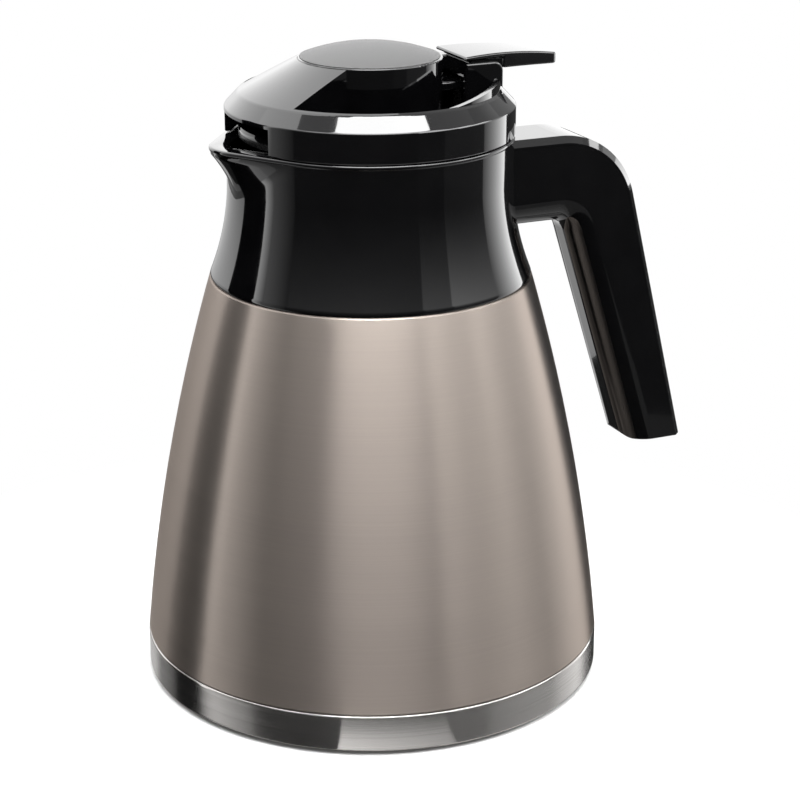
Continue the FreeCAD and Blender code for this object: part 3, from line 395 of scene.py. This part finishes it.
def taupe_lacquer():
    material, tree, shader = shader_of(
        "taupe_lacquer", (0.43, 0.373, 0.333), 0.38, Metallic=1.0, Specular_Tint=(0.5, 0.47, 0.45, 1),
        Anisotropic=1.0, Anisotropic_Rotation=0.25, Coat_Weight=0.4, Coat_Roughness=0.5)
    lines = noise(tree, (6, 6, 2600), 4)
    tint(tree, lines, shader.inputs["Base Color"], (0.42, 0.365, 0.326), (0.44, 0.381, 0.340))
    vary(tree, lines, shader.inputs["Roughness"], 0.36, 0.40)
    brush_round(tree, shader)
    return material


def band_steel():
    material, tree, shader = shader_of(
        "band_steel", (0.62, 0.60, 0.58), 0.22, Metallic=1.0,
        Anisotropic=1.0, Anisotropic_Rotation=0.25)
    lines = noise(tree, (5, 5, 5200), 5)
    tint(tree, lines, shader.inputs["Base Color"], (0.56, 0.54, 0.52), (0.68, 0.66, 0.64))
    vary(tree, lines, shader.inputs["Roughness"], 0.2, 0.24)
    brush_round(tree, shader)
    return material


def inner_steel():
    material, tree, shader = shader_of("inner_steel", (0.6, 0.59, 0.57), 0.28, Metallic=1.0)
    lines = noise(tree, (8, 8, 1800), 4)
    tint(tree, lines, shader.inputs["Base Color"], (0.55, 0.54, 0.52), (0.65, 0.64, 0.62))
    vary(tree, lines, shader.inputs["Roughness"], 0.22, 0.34)
    return material


def black_gloss():
    material, tree, shader = shader_of(
        "black_gloss", (0.002, 0.002, 0.0023), 0.06, Coat_Weight=1.0, Coat_Roughness=0.02)
    cloud = noise(tree, (90, 90, 90), 3)
    tint(tree, cloud, shader.inputs["Base Color"], (0.0015, 0.0015, 0.0018), (0.0025, 0.0025, 0.0028))
    vary(tree, cloud, shader.inputs["Roughness"], 0.05, 0.09)
    return material


def cap_grey():
    material, tree, shader = shader_of("cap_grey", (0.08, 0.08, 0.08), 0.42)
    grain = noise(tree, (2600, 2600, 2600), 2)
    tint(tree, grain, shader.inputs["Base Color"], (0.072, 0.072, 0.072), (0.088, 0.088, 0.088))
    vary(tree, grain, shader.inputs["Roughness"], 0.36, 0.48)
    bump(tree, grain, shader, 0.01 * MM)
    return material


def stopper_plastic():
    material, tree, shader = shader_of("stopper_plastic", (0.006, 0.006, 0.0064), 0.26)
    grain = noise(tree, (1800, 1800, 1800), 3)
    tint(tree, grain, shader.inputs["Base Color"], (0.005, 0.005, 0.0054), (0.008, 0.008, 0.0084))
    vary(tree, grain, shader.inputs["Roughness"], 0.22, 0.3)
    bump(tree, grain, shader, 0.015 * MM)
    return material


def foot_rubber():
    material, tree, shader = shader_of("foot_rubber", (0.03, 0.03, 0.03), 0.75)
    grain = noise(tree, (1400, 1400, 1400), 4)
    tint(tree, grain, shader.inputs["Base Color"], (0.022, 0.022, 0.022), (0.04, 0.04, 0.04))
    vary(tree, grain, shader.inputs["Roughness"], 0.68, 0.85)
    bump(tree, grain, shader, 0.04 * MM)
    return material


def silicone():
    material, tree, shader = shader_of(
        "silicone", (0.62, 0.62, 0.60), 0.5, Subsurface_Weight=0.2, Subsurface_Scale=0.002)
    grain = noise(tree, (700, 700, 700), 3)
    tint(tree, grain, shader.inputs["Base Color"], (0.58, 0.58, 0.56), (0.66, 0.66, 0.64))
    vary(tree, grain, shader.inputs["Roughness"], 0.44, 0.58)
    return material


def fixing_steel():
    material, tree, shader = shader_of("fixing_steel", (0.5, 0.5, 0.5), 0.32, Metallic=1.0)
    grain = noise(tree, (2400, 2400, 2400), 3)
    tint(tree, grain, shader.inputs["Base Color"], (0.44, 0.44, 0.44), (0.56, 0.56, 0.56))
    vary(tree, grain, shader.inputs["Roughness"], 0.26, 0.4)
    return material


MAKERS = (taupe_lacquer, band_steel, inner_steel, black_gloss, cap_grey,
          stopper_plastic, foot_rubber, silicone, fixing_steel)

# A packed material's name is its node's slot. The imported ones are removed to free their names.
node_slots = {name: node.data.materials[0].name for name, node in nodes.items()}
for packed in list(bpy.data.materials):
    bpy.data.materials.remove(packed)
materials = {make.__name__: make() for make in MAKERS}


def dress_nodes():
    """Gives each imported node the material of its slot."""
    for name, slot in node_slots.items():
        nodes[name].data.materials.clear()
        nodes[name].data.materials.append(materials[slot])


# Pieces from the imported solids, with their sharp edges rounded off. The radii are millimetres.

EDGE_RADII = {"lever": 0.7, "base_ring": 0.5, "base_pad": 0.4, "outer_shell": 0.6}
EDGE_ANGLE = math.radians(24)
EDGE_SEGMENTS = 3
FLAT_ANGLE = math.radians(0.4)
MERGE_DISTANCE = 0.002 * MM
NORMAL_WEIGHT = 60


def link_piece(name, mesh, slot, body, *replaced):
    mesh.materials.append(materials[slot])
    piece = bpy.data.objects.new(name, mesh)
    scene.collection.objects.link(piece)
    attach(piece, body)
    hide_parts(*replaced)
    return piece


def soften(node, radius):
    """A copy of a node whose edges are rounded, in place of the node."""
    build = bmesh.new()
    build.from_mesh(nodes[node].data)
    bmesh.ops.remove_doubles(build, verts=build.verts, dist=MERGE_DISTANCE)
    bmesh.ops.dissolve_limit(build, angle_limit=FLAT_ANGLE, verts=build.verts, edges=build.edges)
    for face in build.faces:
        face.smooth = True
    mesh = bpy.data.meshes.new(node + "_soft")
    build.to_mesh(mesh)
    build.free()
    piece = link_piece(node + "_soft", mesh, node_slots[node], nodes[node]["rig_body"], node)
    rounding = piece.modifiers.new("edges", "BEVEL")
    rounding.width = radius * MM
    rounding.segments = EDGE_SEGMENTS
    rounding.limit_method = "ANGLE"
    rounding.angle_limit = EDGE_ANGLE
    rounding.use_clamp_overlap = False
    even = piece.modifiers.new("normals", "WEIGHTED_NORMAL")
    even.keep_sharp = False
    even.weight = NORMAL_WEIGHT


# Valve spring: a copy of its node, carried with the lid.


def make_spring():
    node = nodes["valve_spring"]
    mesh = node.data.copy()
    mesh.materials.clear()
    mesh.transform(node.matrix_world)
    piece = link_piece("spring_coil", mesh, node_slots["valve_spring"], "lid", "valve_spring")
    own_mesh(piece)


# Collar with its spout: a turned wall whose radius swells into the beak. Lengths are millimetres.

SHOULDER_RADIUS = 54.9
WAIST_RADIUS = 48.2
SEAM_HEIGHT = 142.7
SEAM_ROUND = 0.7
SEAM_CUT = SEAM_ROUND / 4
WAIST_HEIGHT = 176
RIM_HEIGHT = 190.6
FLARE_SAG = 1.7
COLLAR_WALL = 2.2
MOUTH_RADIUS = 42
MOUTH_WALL = 1.6
LEDGE_TOP = 179
LEDGE_BOTTOM = 177
LEDGE_BORE = 39.6
SPOUT_ANGLE = math.pi
SPOUT_SECTOR = math.radians(60)
SPOUT_LOW = 173
SPOUT_NOSE = 14
SPOUT_REACH = 55.8
SPOUT_WALL = 2
SPOUT_CURVE = 1.6
SPOUT_LIP = 2.4
LIP_LOW = RIM_HEIGHT - SPOUT_LIP
LIP_WIDTH = 6
LIP_BREAK = 0.1
CHANNEL_LOW = 180
RIB_ANGLES = (50, 120, 240, 310)
RIB_SPAN = 40
RIB_LOW = 182.1
RIB_HEIGHT = 2.2
RIB_LEAD = 48
RIB_SINK = 0.05
RIB_STEPS = 12
COLLAR_COLUMNS = 288
OUTSIDE_STEPS = 44
INSIDE_STEPS = 14
SHELL_STEPS = 8
SHELL_STEP = 4
SHARP_ANGLE = math.radians(40)

# The bead round the rim: its depth, and its points out from the wall and down from the rim, are
# counted in RIM_BEAD.
RIM_BEAD = 0.4
BEAD_DEPTH = 4
BEAD_SHAPE = ((0.7, 3.4), (1, 2.6), (1, 1.6), (0.7, 0.8), (0, 0.2), (-1, 0))


def pear(turn, circle, nose, reach):
    """The radius of a round wall with a nose, at a turn away from the nose."""
    middle = reach - nose
    lean = (circle - nose) / middle
    flank = math.acos(min(lean, 1))
    if turn >= flank:
        return circle
    tip = math.atan2(nose * math.sin(flank), middle + nose * math.cos(flank))
    if turn > tip:
        return circle / math.cos(turn - flank)
    return middle * math.cos(turn) + math.sqrt(nose ** 2 - (middle * math.sin(turn)) ** 2)


def beak(turn, height, circle, nose, reach, low, high):
    """The radius of the spout's wall: it leaves the circle at low and has its whole reach at high."""
    share = min(max((height - low) / (high - low), 0), 1)
    return pear(turn, circle, nose, circle + (reach - circle) * share ** SPOUT_CURVE)


def flared(height, shoulder, waist):
    """The radius from the shoulder to the waist, with the whole sag half-way up."""
    share = min((height - SEAM_HEIGHT) / (WAIST_HEIGHT - SEAM_HEIGHT), 1)
    return shoulder + (waist - shoulder) * share - 4 * FLARE_SAG * share * (1 - share)


def outer_radius(turn, height):
    wall = beak(turn, height, WAIST_RADIUS, SPOUT_NOSE, SPOUT_REACH, SPOUT_LOW, LIP_LOW)
    return flared(height, SHOULDER_RADIUS, WAIST_RADIUS) + (wall - WAIST_RADIUS)


def inner_radius(turn, height):
    channel = beak(turn, height, MOUTH_RADIUS, SPOUT_NOSE - SPOUT_WALL, SPOUT_REACH - SPOUT_WALL,
                   CHANNEL_LOW, RIM_HEIGHT)
    lip = pear(turn, MOUTH_RADIUS, SPOUT_NOSE - LIP_WIDTH, SPOUT_REACH - LIP_WIDTH)
    return min(channel, lip)


def evenly(first, last, steps):
    return [first + (last - first) * n / steps for n in range(steps + 1)]


def outer_side(turn):
    """From the rounded edge at the seam up to the bead."""
    edge_top = SEAM_HEIGHT + SEAM_ROUND
    edge = outer_radius(turn, edge_top)
    rounding = [(edge - SEAM_ROUND, SEAM_HEIGHT), (edge - SEAM_CUT, SEAM_HEIGHT + SEAM_CUT)]
    heights = evenly(edge_top, RIM_HEIGHT - BEAD_DEPTH * RIM_BEAD, OUTSIDE_STEPS)
    return rounding + [(outer_radius(turn, height), height) for height in heights]


def rim_bead(turn):
    edge = outer_radius(turn, RIM_HEIGHT)
    return [(edge + RIM_BEAD * out, RIM_HEIGHT - RIM_BEAD * down) for out, down in BEAD_SHAPE]


def inner_side(turn):
    """From the lip down the mouth and the spout's channel to the ledge."""
    mouth = inner_radius(turn, RIM_HEIGHT)
    lip = [(mouth + RIM_BEAD, RIM_HEIGHT), (mouth + LIP_BREAK, RIM_HEIGHT - LIP_BREAK)]
    depths = evenly(RIM_HEIGHT - RIM_BEAD, LEDGE_TOP, INSIDE_STEPS)
    return lip + [(inner_radius(turn, height), height) for height in depths]


def underside(turn):
    """Round the ledge, and down the hidden side of the wall to the seam."""
    ceiling = SPOUT_LOW if turn < SPOUT_SECTOR else RIM_HEIGHT - 2 * MOUTH_WALL
    mouth = MOUTH_RADIUS + MOUTH_WALL
    waist = WAIST_RADIUS - COLLAR_WALL
    shoulder = SHOULDER_RADIUS - COLLAR_WALL
    ledge = [(LEDGE_BORE, LEDGE_TOP), (LEDGE_BORE, LEDGE_BOTTOM), (mouth, LEDGE_BOTTOM),
             (mouth, max(ceiling, LEDGE_BOTTOM)), (waist, ceiling)]
    heights = [min(ceiling, WAIST_HEIGHT) - n * SHELL_STEP for n in range(SHELL_STEPS)]
    wall = [(flared(height, shoulder, waist), height) for height in heights]
    return ledge + wall + [(shoulder, SEAM_HEIGHT)]


def collar_outline(turn):
    """The closed outline of the section at a turn away from the spout, as radius and height."""
    return outer_side(turn) + rim_bead(turn) + inner_side(turn) + underside(turn)


def add_section(build, angle, outline):
    return [build.verts.new((r * MM * math.cos(angle), r * MM * math.sin(angle), z * MM))
            for r, z in outline]


def join_sections(build, here, there):
    for n in range(len(here)):
        m = (n + 1) % len(here)
        build.faces.new((here[n], there[n], there[m], here[m]))


def add_wall(build):
    """The collar's wall, a closed ring of sections."""
    sections = []
    for n in range(COLLAR_COLUMNS):
        angle = 2 * math.pi * n / COLLAR_COLUMNS
        turn = abs((angle - SPOUT_ANGLE + math.pi) % (2 * math.pi) - math.pi)
        sections.append(add_section(build, angle, collar_outline(turn)))
    for here, there in zip(sections, sections[1:] + sections[:1]):
        join_sections(build, here, there)


def add_rib(build, middle):
    """A short rib of the lid's quick thread, on the mouth's wall."""
    wall = MOUTH_RADIUS + RIB_SINK
    sections = []
    for n in range(RIB_STEPS + 1):
        angle = math.radians(middle - RIB_SPAN / 2 + RIB_SPAN * n / RIB_STEPS)
        low = RIB_LOW + RIB_LEAD * RIB_SPAN / 360 * n / RIB_STEPS
        high = low + RIB_HEIGHT
        corners = ((LEDGE_BORE, low), (wall, low), (wall, high), (LEDGE_BORE, high))
        sections.append(add_section(build, angle, corners))
    for here, there in zip(sections, sections[1:]):
        join_sections(build, here, there)
    build.faces.new(sections[0])
    build.faces.new(reversed(sections[-1]))


def make_collar():
    build = bmesh.new()
    add_wall(build)
    for angle in RIB_ANGLES:
        add_rib(build, angle)
    bmesh.ops.recalc_face_normals(build, faces=build.faces)
    for face in build.faces:
        face.smooth = True
    mesh = bpy.data.meshes.new("collar_spout")
    build.to_mesh(mesh)
    build.free()
    mesh.set_sharp_from_angle(angle=SHARP_ANGLE)
    link_piece("collar_spout", mesh, "black_gloss", "vessel", "collar")


make_camera()
make_studio()
make_world()
make_floor()
dress_nodes()
for node, radius in EDGE_RADII.items():
    soften(node, radius)
make_spring()
make_collar()
scene.view_settings.view_transform = "Standard"
